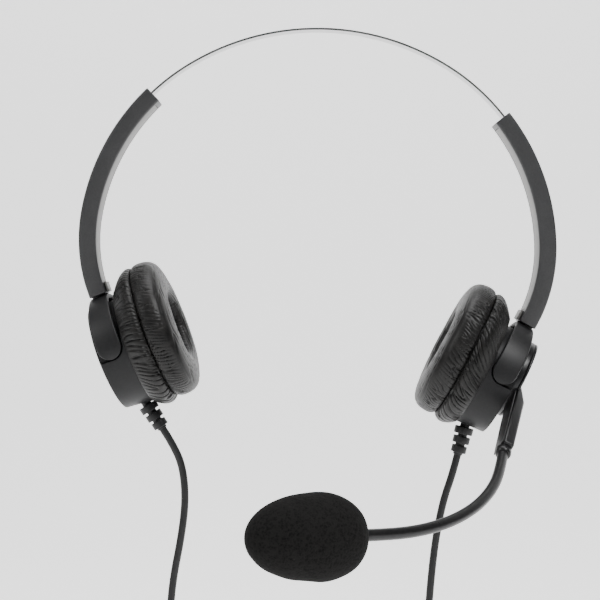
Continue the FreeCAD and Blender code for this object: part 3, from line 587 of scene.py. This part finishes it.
cordage = {
    "cableRadius": 1.5, "trunkRadius": 1.8, "sleeveLong": 12.8, "jointTop": (-8, 0, -302),
    "jointLong": 18.0, "spread": {"right": -2.6, "left": 2.6},
    "route": {
        "right": [(-53.6, -174.5), (-52.5, -188.0), (-54.4, -203.0), (-57.6, -219.0), (-59.0, -235.0),
                  (-56.0, -251.0), (-47.0, -266.0), (-33.5, -278.0), (-20.0, -288.5)],
        "left": [(50.5, -187.5), (47.6, -202.0), (45.7, -217.5), (44.5, -233.0), (40.0, -249.0),
                 (30.0, -263.0), (17.0, -275.0), (3.6, -287.0)],
    },
    "partDrops": (35.0, 71.0),  # how far below its exit a cable's three lengths meet
    "coilRadius": 20.0, "coilDrop": 34.0, "turnPoints": 12, "turnGap": 3.75,
}


def cableRoute(side):
    exit = sleevePlace[side] @ Vector((cordage["sleeveLong"], 0, 0))
    way = sleevePlace[side].to_3x3() @ Vector((1, 0, 0))
    end = Vector(cordage["jointTop"]) + Vector((cordage["spread"][side], 0, 0))
    middle = [Vector((x, 0, z)) for x, z in cordage["route"][side]]
    return np.array([exit, exit + way * 8, *middle, end])


def cablePieces(side):
    # A cup's cable in three lengths, cut where it has dropped set heights below its exit.
    path = splinePath(cableRoute(side))
    limits = [path[0, 2], *(path[0, 2] - np.array(cordage["partDrops"])), path[-1, 2]]
    for index in range(3):
        first = np.searchsorted(-path[:, 2], -limits[index])
        last = np.searchsorted(-path[:, 2], -limits[index + 1]) if index < 2 else len(path) - 1
        run = path[first:last + 1]
        name = "cable%s%s" % (side.capitalize(), ("Top", "Middle", "Lower")[index])
        surface = capped(tubeLoops(run, cordage["cableRadius"], (0, 1, 0)))
        piece = buildPiece(name, [surface], Matrix.Identity(4), finishes["softRubber"], None)
        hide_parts("cable_" + side)
        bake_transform(piece)


def trunkRoute():
    # Down from the moulded joint, round the coil's turns, and on down to the plug. Turn t stands at slot t
    # of the bundle, and moves to the next slot over its last part.
    top = np.array(cordage["jointTop"]) - (0, 0, cordage["jointLong"])
    centre = top + (cordage["coilRadius"], 0, -cordage["coilDrop"])
    around = math.radians(60) * np.arange(6) + math.radians(20)
    slots = np.vstack([[0, 0], np.stack([np.cos(around), np.sin(around)], -1) * cordage["turnGap"]])
    slots = slots[[4, 3, 2, 0, 5, 6, 1]]
    step = np.arange(len(slots) * cordage["turnPoints"] + 1)
    turnIndex = np.minimum(step // cordage["turnPoints"], len(slots) - 1)
    share = smoothStep((step / cordage["turnPoints"] - turnIndex - 0.55) / 0.45)[:, None]
    place = slots[turnIndex] * (1 - share) + slots[np.minimum(turnIndex + 1, len(slots) - 1)] * share
    angle = math.pi + step * 2 * math.pi / cordage["turnPoints"]
    radius = (cordage["coilRadius"] + place[:, 0]) / 0.966
    turns = np.stack([centre[0] + radius * np.cos(angle), place[:, 1],
                      centre[2] + radius * np.sin(angle)], -1)
    side = centre - (cordage["coilRadius"], 0, 0)
    lead = np.array([top, top + (-0.9, 0, -11), side + (-0.6, 0, 13)])
    tail = np.array([side + (-1.2, 0, -13), side + (-0.8, 0, -26), side + (0.6, 0, -39)])
    return np.vstack([lead, turns, tail]), top


def trunkCord():
    points, top = trunkRoute()
    cord = splineThrough("trunkCord", points)
    cord.data.bevel_depth = cordage["trunkRadius"] * millimetre
    cord.data.bevel_resolution = 5
    cord.data.use_fill_caps = True
    cord.data.materials.append(finishes["softRubber"])
    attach(cord, "headband")
    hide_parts("trunk_cable", "trunk_coil", "plug_cable")
    path = splinePath(points)
    length = np.linalg.norm(np.diff(path, axis=0), axis=1).sum() * millimetre
    print("trunk cord is %.2f m long" % length)
    return cord, top * millimetre, length


for side in sides:
    cablePieces(side)
trunk, trunkExit, trunkLength = trunkCord()
print("cords are laid")


def armPoints(angles, section):
    # Points of sections (radial offset from the outer face, depth) at angles along the two arcs.
    low = angles > arm["turnAngle"]
    centre = np.where(low[:, None], np.array(lowCentre), np.array(sideCentre))
    radius = np.where(low, arm["lowOuter"], arm["outer"])[:, None] + section[..., 0]
    angle = np.radians(angles)[:, None]
    return np.stack([centre[:, :1] + radius * np.sin(angle), section[..., 1],
                     centre[:, 2:] + radius * np.cos(angle)], -1)


def degreesAt(angle, length):
    # The sweep that a length takes near an angle of the arm.
    radius = arm["lowOuter"] if angle > arm["turnAngle"] else arm["outer"]
    return math.degrees(length / (radius - arm["thick"] / 2))


def armShell(side):
    # An open channel swept along the arm, closed by a slotted cap above and a solid foot below.
    half, deepHalf, soft = arm["thick"] / 2, arm["deep"] / 2, arm["cornerRound"]
    capEnd = arm["topAngle"] + arm["capSweep"]
    footStart = arm["endAngle"] - arm["footSweep"]

    angles = np.linspace(capEnd, footStart, 72)
    angles = np.unique(np.append(angles, [arm["turnAngle"], arm["turnAngle"] + 1e-4]))
    outer = roundedBox(half, deepHalf, soft, 5)[0] - (half, 0)
    grooveHalf, floor = deepHalf - arm["side"], -arm["wall"]
    groove = np.array([(-arm["thick"], -grooveHalf), (floor, -grooveHalf + 0.02),
                       (floor, grooveHalf - 0.02), (-arm["thick"], grooveHalf)])
    ring = outer[np.argsort(np.arctan2(outer[:, 1], outer[:, 0] + half))]
    section = np.vstack([ring, groove[::-1]])
    channel = armPoints(angles, np.broadcast_to(section, (len(angles), *section.shape)))

    stations, inset = roundedEnds(0, 1, arm["endRound"])
    footEnd = arm["endAngle"]
    back = len(stations) // 2
    footAngles = np.concatenate([[footStart, footEnd - degreesAt(footEnd, arm["endRound"])],
                                 footEnd - np.degrees(stations[:back][::-1] / (arm["lowOuter"] - half))])
    footInset = np.concatenate([[0, 0], inset[:back][::-1]])
    foot = armPoints(footAngles, roundedBox(half - footInset, deepHalf - footInset, soft, 5) - (half, 0))

    capAngles = arm["topAngle"] + np.degrees(stations[:back] / (arm["outer"] - half))
    capOuter = roundedBox(half - inset[:back], deepHalf - inset[:back], soft, 5) - (half, 0)
    slot = roundedBox(arm["slotHigh"] / 2, arm["slotWide"] / 2, 0.25, 5)[0]
    slot = slot + (head["sideRadius"] + head["halfStrip"] - arm["outer"], 0)
    cap = np.concatenate([
        armPoints(capAngles, capOuter),
        armPoints(np.array([capEnd]), capOuter[-1:]),
        armPoints(np.array([capEnd, arm["topAngle"] + 0.2, arm["topAngle"]]),
                  np.stack([slot, slot, slot]))])
    buildPiece("armShell" + side.capitalize(),
               [capped(channel), capped(foot),
                loft(cap, closedAlong=True)],
               armPlace[side], finishes["armPlastic"], "arm_" + side, ["arm_shell_" + side])


def armCover(side):
    # The lid on the arm's inner face, its long edges softened, with a small release tab at its foot.
    start = arm["topAngle"] + arm["capSweep"] + 0.15
    end = arm["endAngle"] - arm["footSweep"] - 0.15
    half = arm["wall"] / 2
    angles = np.unique(np.append(np.linspace(start, end, 72), [arm["turnAngle"], arm["turnAngle"] + 1e-4]))
    section = roundedBox(half, arm["deep"] / 2 - arm["side"] - 0.1, 0.28, 4)[0] + (half - arm["thick"], 0)
    lid = armPoints(angles, np.broadcast_to(section, (len(angles), *section.shape)))
    tabAngles, tabInset = roundedEnds(end + 0.5, arm["endAngle"] - 0.2, 0.35)
    tabSection = roundedBox(0.45 - np.minimum(tabInset, 0.3), 4.2 - tabInset, 0.3, 4)
    tabSection = tabSection + (-arm["thick"] - 0.75, 0)
    tab = armPoints(tabAngles, tabSection)
    rootAngles = np.array([end + 1.2, arm["endAngle"] - 1.6])
    root = armPoints(rootAngles, np.broadcast_to(roundedBox(0.6, 2.6, 0.2, 4)[0] + (-arm["thick"] - 0.3, 0),
                                                 (2, 20, 2)))
    # the lid and its release tab take a pale grey that is painted reflection of the white surroundings, not
    # the plastic's own tone
    buildPiece("armCover" + side.capitalize(),
               [capped(lid), capped(tab),
                capped(root)],
               armPlace[side], finishes["coverPaintedReflection"], "arm_" + side, ["arm_cover_" + side])


def forkYoke(side):
    # A band over the cup: at each angle round the cup's axis, a rounded rectangle as wide as the outline.
    middle, half = (fork["inner"] + fork["outer"]) / 2, (fork["outer"] - fork["inner"]) / 2
    endAngle = math.acos((-fork["endRadius"] + 0.02 + cup["drop"]) / middle)
    tips = endAngle - 0.22 * (1 - np.cos(np.linspace(0, math.pi / 2, 16)))
    angle = np.concatenate([tips, np.linspace(tips[-1], 0, 48)[1:]])
    angle = np.concatenate([angle, -angle[::-1][1:]])
    height = middle * np.cos(angle) - cup["drop"]
    below = np.sqrt(np.clip(fork["endRadius"] ** 2 - height ** 2, 1e-4, None))
    rise = np.clip(height / fork["top"], 0, 1)
    front = (1 - rise) * fork["endRadius"] + rise * fork["topHalf"] + 4 * fork["bow"] * rise * (1 - rise)
    back = np.interp(height, [0, fork["shoulder"], fork["top"]],
                     [fork["endRadius"], fork["shoulderHalf"], fork["topHalf"]])
    front, back = np.where(height < 0, below, front), np.where(height < 0, below, back)
    section = roundedBox((front + back) / 2, half, fork["edgeRound"], 5)
    along = (front - back)[:, None] / 2 + section[..., 0]
    radius = middle + section[..., 1]
    loops = np.stack([along, radius * np.sin(angle)[:, None],
                      radius * np.cos(angle)[:, None] - cup["drop"]], -1)
    washer = softCorners([(fork["top"] - 0.6, 3.2), (fork["top"] + 0.2, 3.2), (fork["top"] + 0.2, 0.4)], 0.12)
    collar = turnedLoops(washer, 48) @ np.array(turn(-90, "Y").to_3x3()).T
    buildPiece("forkYoke" + side.capitalize(),
               [capped(loops), loft(collar, startCap="flat", endCap="point")],
               forkPlace[side], finishes["forkPlastic"], "fork_" + side, ["fork_" + side],
               sharpAngle=50)


def cupShell(side):
    # A turned shell: radius by profile, lowered to the recess floor where the fork lies.
    apex = cup["apex"][side]
    wall = np.linspace(0, 1, 64)
    cone = np.stack([cup["front"] + wall * (cup["edge"] - cup["front"] - cup["lip"]),
                     cup["frontRadius"] + wall * (cup["edgeRadius"] - cup["frontRadius"])], -1)
    rim = np.linspace(0.15, math.pi / 2 - 0.15, 5)
    lip = np.stack([cup["edge"] + cup["lip"] * (np.sin(rim) - 1),
                    cup["edgeRadius"] + cup["lip"] * (np.cos(rim) - 1)], -1)
    inward = np.concatenate([np.linspace(cup["edgeRadius"] - 0.3, 19.6, 14), np.linspace(19.0, 0.4, 26)])
    rise = (apex - cup["edge"]) * (1 - (inward / cup["edgeRadius"]) ** 2)
    dome = np.stack([cup["edge"] + rise, inward], -1)
    count = 560
    outside = turnedLoops(np.vstack([cone, lip, dome]), count, cup["drop"])
    x, y, z = np.moveaxis(outside, -1, 0)
    leftEdge = cup["pivotOut"] - cup["span"] - cup["flare"] * z / cup["fanHigh"]
    roundEnd = np.hypot(x - cup["pivotOut"], z) - cup["span"]
    outsideBy = np.where(z >= 0, leftEdge - x, np.where(x < cup["pivotOut"], roundEnd, -z - cup["span"]))
    sunk = smoothStep((0.15 - outsideBy) / 0.5)
    radius = np.hypot(y, z + cup["drop"])
    lowered = np.where(radius > cup["floor"], radius - (radius - cup["floor"]) * sunk, radius)
    scale = lowered / radius
    outside = np.stack([x, y * scale, (z + cup["drop"]) * scale - cup["drop"]], -1)
    inside = turnedLoops([(cup["front"], cup["cavityFront"]), (9.4, cup["cavityFront"]),
                          (9.41, cup["cavityRadius"]), (cup["cavityBack"], cup["cavityRadius"]),
                          (cup["cavityBack"] + 0.01, 0.4)], count, cup["drop"])
    buildPiece("cupShell" + side.capitalize(),
               [loft(np.concatenate([inside[::-1], outside]), startCap="point", endCap="point")],
               cupPlace[side], finishes["cupPlastic"], "cup_" + side, ["cup_shell_" + side])


def cableSleeve(side):
    # Three block rings on a soft neck, turned about the cable's first line.
    corners = [(-3.0, 1.9), (1.5, 1.9)]
    reach = 1.5
    for radius in (3.75, 3.4, 3.05):
        corners += [(reach, radius), (reach + 2.8, radius), (reach + 2.8, 1.9), (reach + 3.8, 1.9)]
        reach += 3.8
    corners[-1] = (cordage["sleeveLong"], 1.9)
    corners.append((cordage["sleeveLong"], 1.45))
    profile = softCorners(corners, 0.3, 3)
    buildPiece("cableSleeve" + side.capitalize(),
               [capped(turnedLoops(profile, 48))],
               sleevePlace[side], finishes["softRubber"], "cup_" + side, ["cable_sleeve_" + side])


pad = {
    "ring": [(0.1, 14.0), (0.3, 20.0), (0.4, 25.0), (0.1, 26.3), (-0.6, 27.2), (-2.2, 27.8), (-4.6, 27.8),
             (-7.2, 27.2), (-9.3, 25.6), (-10.5, 22.6), (-11.0, 19.0), (-11.1, 15.6), (-10.4, 13.0),
             (-8.4, 11.8), (-5.0, 11.6), (-2.0, 12.2), (-0.2, 12.6)],
    "skirt": [(0.2, 26.2), (0.9, 27.2), (2.2, 27.9), (4.0, 27.7), (5.8, 26.7), (7.4, 25.4), (8.7, 24.1),
              (9.3, 23.5), (9.1, 23.2), (7.0, 23.8), (4.0, 24.8), (0.6, 25.7)],
    "around": 640, "back": 8.6, "wallDepth": 0.6, "holeDepth": 0.4, "faceDepth": 0.24, "skirtDepth": 0.7,
}


def wrinkles(along, around, seed, lowest, highest, change, width=0.22):
    # Narrow valleys along the zero lines of a periodic noise, which drifts into another one along the piece.
    random = np.random.default_rng(seed)
    waves = np.arange(lowest, highest + 1)
    mixed = 0
    for share in (np.cos(along * change), np.sin(along * change)):
        size, phase = random.normal(size=len(waves)), random.uniform(0, 2 * math.pi, len(waves))
        ripples = np.cos(waves[:, None, None] * around + phase[:, None, None])
        mixed = mixed + share * np.tensordot(size, ripples, 1)
    mixed = mixed / math.sqrt(len(waves) / 2)
    return -np.exp(-(mixed / width) ** 2)


def swell(around, seed, waves=(2, 3, 5, 9)):
    # Slow waviness round the pad, so that no two places are alike.
    random = np.random.default_rng(seed)
    return sum(np.cos(wave * around + random.uniform(0, 2 * math.pi)) / wave for wave in waves)


def padLoops(outline, around):
    # The outline carried round the cup, its centre sinking with the shell's behind the seam.
    along, radius = np.asarray(outline, float).T
    sink = cup["drop"] * np.clip(along / pad["back"], 0, 1)
    return np.stack([np.broadcast_to(along[:, None], (len(along), len(around))),
                     radius[:, None] * np.sin(around),
                     radius[:, None] * np.cos(around) - sink[:, None]], -1)


def pushOut(loops, outline, around, height):
    # Moves points along the outline's normal by a height.
    ahead = np.roll(outline, -1, 0) - np.roll(outline, 1, 0)
    normal = np.stack([ahead[:, 1], -ahead[:, 0]], -1) / np.linalg.norm(ahead, axis=1)[:, None]
    normal *= np.sign(np.sum(normal * (outline - outline.mean(0)), 1).sum())
    return loops + np.stack([normal[:, :1] * height, normal[:, 1:] * height * np.sin(around),
                             normal[:, 1:] * height * np.cos(around)], -1)


def earPad(side, seed):
    around = np.linspace(0, 2 * math.pi, pad["around"], endpoint=False)
    ring = cutCorners(pad["ring"], 3)
    x, radius = ring[:, :1], ring[:, 1:]
    grid = np.broadcast_to(around, (len(ring), len(around)))
    outerWall = smoothStep((x + 8.8) / 5.0) * smoothStep((radius - 24.0) / 2.0)
    face = smoothStep((-x - 6.5) / 3.0)
    hole = smoothStep((14.5 - radius) / 2.5) * smoothStep((x + 10.8) / 3.0)
    leaning = grid + 0.012 * x + 0.02 * swell(grid, seed + 8)
    height = pad["wallDepth"] * outerWall * wrinkles(x * 0.9, leaning, seed, 34, 84, 0.35, 0.2)
    height += pad["holeDepth"] * hole * wrinkles(x, grid, seed + 1, 18, 40, 0.3)
    circling = (radius - 12) / 16 * math.pi + 0.12 * swell(grid, seed + 2)
    streaks = wrinkles(grid * 4, circling, seed + 3, 5, 15, 1.0, 0.3)
    height = height + pad["faceDepth"] * face * streaks + 0.18 * swell(grid, seed + 4)
    loops = pushOut(padLoops(ring, around), ring, around, height)

    skirt = cutCorners(pad["skirt"], 3)
    x = skirt[:, :1]
    grid = np.broadcast_to(around, (len(skirt), len(around)))
    outer = smoothStep((skirt[:, 1:] - (26.3 - 0.42 * x)) / 0.8)
    skew = grid + 0.02 * x + 0.03 * swell(grid, seed + 5)
    folds = pad["skirtDepth"] * wrinkles(x, skew, seed + 6, 20, 56, 0.22, 0.28)
    height = outer * (folds + 0.25 * swell(grid, seed + 7))
    height = height * smoothStep((9.3 - x) / 2.5)
    skirtLoops = pushOut(padLoops(skirt, around), skirt, around, height)
    piece = buildPiece("earPad" + side.capitalize(),
                       [loft(loops, closedAlong=True), loft(skirtLoops, closedAlong=True)],
                       cupPlace[side], finishes["leatherette"], "cup_" + side, ["ear_pad_" + side],
                       sharpAngle=80)


def earScreen(side):
    # A cloth disc over the speaker, sagging a little between its glued edge and its middle.
    radius = np.array([12.55, 12.3, 11.0, 9.0, 7.0, 5.0, 3.0, 1.0])
    sag = 0.35 * (1 - (radius / 12.55) ** 2)
    front = np.stack([-0.75 + sag, radius], -1)
    back = np.stack([-0.35 + sag, radius], -1)
    piece = buildPiece("earScreen" + side.capitalize(),
                       [loft(turnedLoops(np.vstack([back[::-1], front]), 96), startCap="point",
                             endCap="point")],
                       cupPlace[side], finishes["earCloth"], "cup_" + side, ["ear_screen_" + side])


for seed, side in enumerate(sides):
    armShell(side)
    armCover(side)
    forkYoke(side)
    cupShell(side)
    cableSleeve(side)
    earPad(side, 10 * seed + 3)
    earScreen(side)
    print(side, "arm, fork and cup are made")


rotor = {"radius": 16.0, "base": 2.2, "rim": 1.0, "dome": 2.4, "hub": 1.56, "screwPocket": 5.0}
holder = {"start": 10.0, "end": 54.2, "half": 4.7, "tipHalf": 3.9, "back": 1.3, "tipBack": 1.7,
          "front": 6.4, "ramp": 12.0}
neck = {
    "radius": 1.95, "ferruleRadius": 2.9, "ferruleLong": 3.0, "offset": 4.0,
    "route": [(4.4, 67.5), (3.4, 81.0), (-0.8, 96.4), (-8.0, 111.3), (-17.3, 124.3), (-27.6, 134.7),
              (-35.4, 141.6)],
}
foam = {
    "profile": [(-1.2, 2.1), (-1.2, 4.3), (-0.4, 7.0), (1.6, 9.6), (5.0, 11.9), (9.5, 13.2), (14.5, 13.5),
                (20.0, 13.1), (25.5, 11.9), (30.5, 10.2), (34.5, 7.6), (37.2, 4.6), (38.0, 1.6), (38.0, 0.4)],
    "around": 128,
}


def holderBar(low, high, corner):
    # A bar that narrows to its tip; low and high give its two faces at the rotor, after the ramp and
    # at the tip.
    stations, inset = roundedEnds(holder["start"], holder["end"], 0.8)
    stations = np.insert(stations, 6, holder["start"] + holder["ramp"])
    inset = np.insert(inset, 6, 0)
    bends = [holder["start"], holder["start"] + holder["ramp"], holder["end"]]
    half = np.interp(stations, [holder["start"], holder["end"]], [holder["half"], holder["tipHalf"]])
    lowFace, highFace = np.interp(stations, bends, low), np.interp(stations, bends, high)
    thick = (highFace - lowFace) / 2
    section = roundedBox(thick - np.minimum(inset, 0.4 * thick), half - inset, corner, 5)
    return np.stack([(lowFace + thick)[:, None] + section[..., 0], section[..., 1],
                     np.broadcast_to(-stations[:, None], section.shape[:2])], -1)


def boomRotor():
    disc = softCorners([(0, rotor["hub"]), (0, rotor["radius"]), (rotor["base"] - 0.06, rotor["radius"]),
                        (rotor["base"] - 0.06, rotor["hub"])], 0.45)
    face = rotor["base"] - 0.05
    bar = holderBar((holder["back"], holder["back"] + 0.1, holder["tipBack"]), (face, face, face), 0.3)
    buildPiece("boomRotor", [loft(turnedLoops(disc, 144), closedAlong=True),
                             capped(bar)],
               boomPlace, finishes["boomPlastic"], "boom", ["boom_rotor"])


def boomCover():
    # A shallow dome: its height falls with the square of the radius to a rounded rim.
    radius = np.linspace(0.4, rotor["radius"] - 0.7, 40)[::-1]
    bulge = (rotor["dome"] - rotor["rim"]) * (1 - (radius / rotor["radius"]) ** 2)
    height = rotor["base"] + rotor["rim"] + bulge
    edge = softCorners([(rotor["base"], rotor["screwPocket"]), (rotor["base"], rotor["radius"]),
                        (rotor["base"] + rotor["rim"], rotor["radius"]), (height[0], radius[0])], 0.6)
    pocket = np.array([(rotor["base"] + 1.4, 0.4), (rotor["base"] + 1.4, rotor["screwPocket"])])
    profile = np.vstack([pocket, edge, np.stack([height, radius], -1)])
    face = rotor["base"] + 0.05
    bar = holderBar((face, face, face), (rotor["base"] + rotor["rim"], holder["front"], holder["front"]), 0.9)
    buildPiece("boomCover", [loft(turnedLoops(profile, 144), startCap="point", endCap="point"),
                             capped(bar)],
               boomPlace, finishes["boomPlastic"], "boom", ["boom_cover"])


def gooseneck():
    # The bendable neck and the collar that grips it, in the boom's own frame.
    collarStart = holder["end"]
    collar = softCorners([(0, neck["radius"]), (0, neck["ferruleRadius"]),
                          (neck["ferruleLong"] - 0.8, neck["ferruleRadius"]),
                          (neck["ferruleLong"], neck["ferruleRadius"] - 0.6),
                          (neck["ferruleLong"], neck["radius"])], 0.35)
    buildPiece("boomCollar", [loft(turnedLoops(collar, 64), closedAlong=True)],
               boomPlace @ shift(neck["offset"], 0, -collarStart) @ turn(90, "Y"),
               finishes["boomPlastic"], "boom", ["boom_ferrule"])
    points = [(neck["offset"], 0, -collarStart - neck["ferruleLong"])]
    points += [(out, 0, -away) for out, away in neck["route"]]
    path = splinePath(points)
    path = np.vstack([[neck["offset"], 0, -collarStart + 2], path])
    buildPiece("gooseneck", [capped(tubeLoops(path, neck["radius"], (0, 1, 0), 28))],
               boomPlace, finishes["neckSleeve"], "boom", ["gooseneck"])
    end = Vector(points[-1])
    way = (end - Vector(points[-2])).normalized()
    return boomPlace @ shift(*end) @ Vector((1, 0, 0)).rotation_difference(way).to_matrix().to_4x4()


def foamCover(place):
    # A turned foam bulb, its skin dimpled by ten slow waves.
    profile = cutCorners(foam["profile"], 3, closed=False)
    loops = turnedLoops(profile, foam["around"])
    random = np.random.default_rng(5)
    around = np.linspace(0, 2 * math.pi, foam["around"], endpoint=False)
    dimple = sum(np.cos(k * around + random.uniform(0, 6.3) + profile[:, :1] * random.uniform(0.1, 0.6)) / k
                 for k in range(2, 12))
    loops[..., 1:] *= 1 + 0.012 * (dimple * smoothStep((profile[:, 1:] - 3) / 4))[..., None]
    piece = buildPiece("foamWindscreen", [loft(loops, startCap="flat", endCap="point")], place,
                       finishes["foam"], "boom", ["foam_windscreen"], sharpAngle=80)


boomRotor()
boomCover()
foamCover(gooseneck())
print("boom is made")


fittings = {"tieLong": 6.0, "tieInner": 6.1, "tieOuter": 6.9, "plugWide": 7.65,
            "plugDeep": 6.6, "plugLong": 11.7}


def cordJoint():
    top = shift(*cordage["jointTop"]) @ turn(90, "Y")
    profile = softCorners([(0, 0.4), (0, 5.2), (2.2, 5.2), (2.6, 4.9), (3.4, 4.9), (3.8, 5.2), (9.0, 5.1),
                           (17.0, 2.7), (18.0, 2.5), (18.0, 0.4)], 0.7)
    loops = turnedLoops(profile, 64)
    loops[..., 1] *= 0.82
    buildPiece("cableJoint", [loft(loops, startCap="point", endCap="point")], top, finishes["softRubber"],
               "headband", ["cable_joint"])


def coilTie():
    # A band round the bundle at the coil's top.
    centre = (Vector(cordage["jointTop"]) - Vector((0, 0, cordage["jointLong"]))
              + Vector((cordage["coilRadius"], 0, -cordage["coilDrop"] + cordage["coilRadius"])))
    half = fittings["tieLong"] / 2
    profile = softCorners([(-half, fittings["tieInner"]), (-half, fittings["tieOuter"]),
                           (half, fittings["tieOuter"]), (half, fittings["tieInner"])], 0.3)
    buildPiece("coilTie", [loft(turnedLoops(profile, 80), closedAlong=True)], shift(*centre),
               finishes["tieBand"], "headband", ["coil_tie"])


def plugBody():
    # A modular plug: a clear block with a latch on its back.
    top = trunkRoute()[0][-1]
    wide, deep, long = fittings["plugWide"] / 2, fittings["plugDeep"] / 2, fittings["plugLong"]
    stations, inset = roundedEnds(0, -long, 0.35)
    block = roundedBox(wide - inset, deep - inset, 0.4, 4)
    body = np.stack([block[..., 0], block[..., 1],
                     np.broadcast_to(stations[:, None], block.shape[:2])], -1) + top
    latchStations, latchInset = roundedEnds(-long + 0.6, -1.6, 0.25)
    latch = roundedBox(1.6 - latchInset, 0.35 - np.minimum(latchInset, 0.2), 0.2, 4)
    rise = np.interp(latchStations, [-long, -1.6], [0.1, 0.9])[:, None]
    tongue = np.stack([latch[..., 0], latch[..., 1] + deep + rise * 0.5,
                       np.broadcast_to(latchStations[:, None], latch.shape[:2])], -1) + top
    return buildPiece("plugBody", [capped(body), capped(tongue)], Matrix.Identity(4),
                      finishes["clearPlastic"], "headband", ["plug_body"])


cordJoint()
coilTie()
plug = plugBody()
print("fittings are made")
